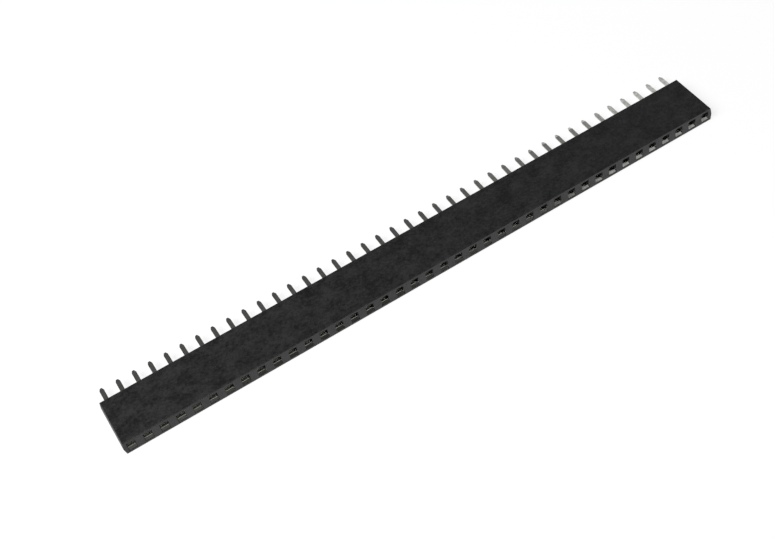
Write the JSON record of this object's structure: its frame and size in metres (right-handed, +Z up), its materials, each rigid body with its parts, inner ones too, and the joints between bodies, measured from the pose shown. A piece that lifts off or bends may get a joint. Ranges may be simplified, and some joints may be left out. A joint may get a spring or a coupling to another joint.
{
  "type": "female pin header strip",
  "caption": "Straight single-row socket strip at 2.54 mm pitch: black moulded housing, folded dual-leaf contacts and flat solder tails.",
  "frame": {"origin": "under the middle of the whole part, on the long side that it lies on", "axes": "+X along the row, +Y out of the board face along the solder tails, +Z up through the housing's thickness; the sockets open towards -Y"},
  "size_m": [0.1016, 0.0116, 0.0025],
  "materials": {
    "housing_pbt": "fine moulded, satin black",
    "tin_plated_bronze": "bright tin plate over phosphor bronze"
  },
  "bodies": {
    "root": {"housing": "housing_pbt", "contact_01": "tin_plated_bronze", "contact_02": "tin_plated_bronze", "contact_03": "tin_plated_bronze", "contact_04": "tin_plated_bronze", "contact_05": "tin_plated_bronze", "contact_06": "tin_plated_bronze", "contact_07": "tin_plated_bronze", "contact_08": "tin_plated_bronze", "contact_09": "tin_plated_bronze", "contact_10": "tin_plated_bronze", "contact_11": "tin_plated_bronze", "contact_12": "tin_plated_bronze", "contact_13": "tin_plated_bronze", "contact_14": "tin_plated_bronze", "contact_15": "tin_plated_bronze", "contact_16": "tin_plated_bronze", "contact_17": "tin_plated_bronze", "contact_18": "tin_plated_bronze", "contact_19": "tin_plated_bronze", "contact_20": "tin_plated_bronze", "contact_21": "tin_plated_bronze", "contact_22": "tin_plated_bronze", "contact_23": "tin_plated_bronze", "contact_24": "tin_plated_bronze", "contact_25": "tin_plated_bronze", "contact_26": "tin_plated_bronze", "contact_27": "tin_plated_bronze", "contact_28": "tin_plated_bronze", "contact_29": "tin_plated_bronze", "contact_30": "tin_plated_bronze", "contact_31": "tin_plated_bronze", "contact_32": "tin_plated_bronze", "contact_33": "tin_plated_bronze", "contact_34": "tin_plated_bronze", "contact_35": "tin_plated_bronze", "contact_36": "tin_plated_bronze", "contact_37": "tin_plated_bronze", "contact_38": "tin_plated_bronze", "contact_39": "tin_plated_bronze", "contact_40": "tin_plated_bronze"}
  },
  "joints": []
}
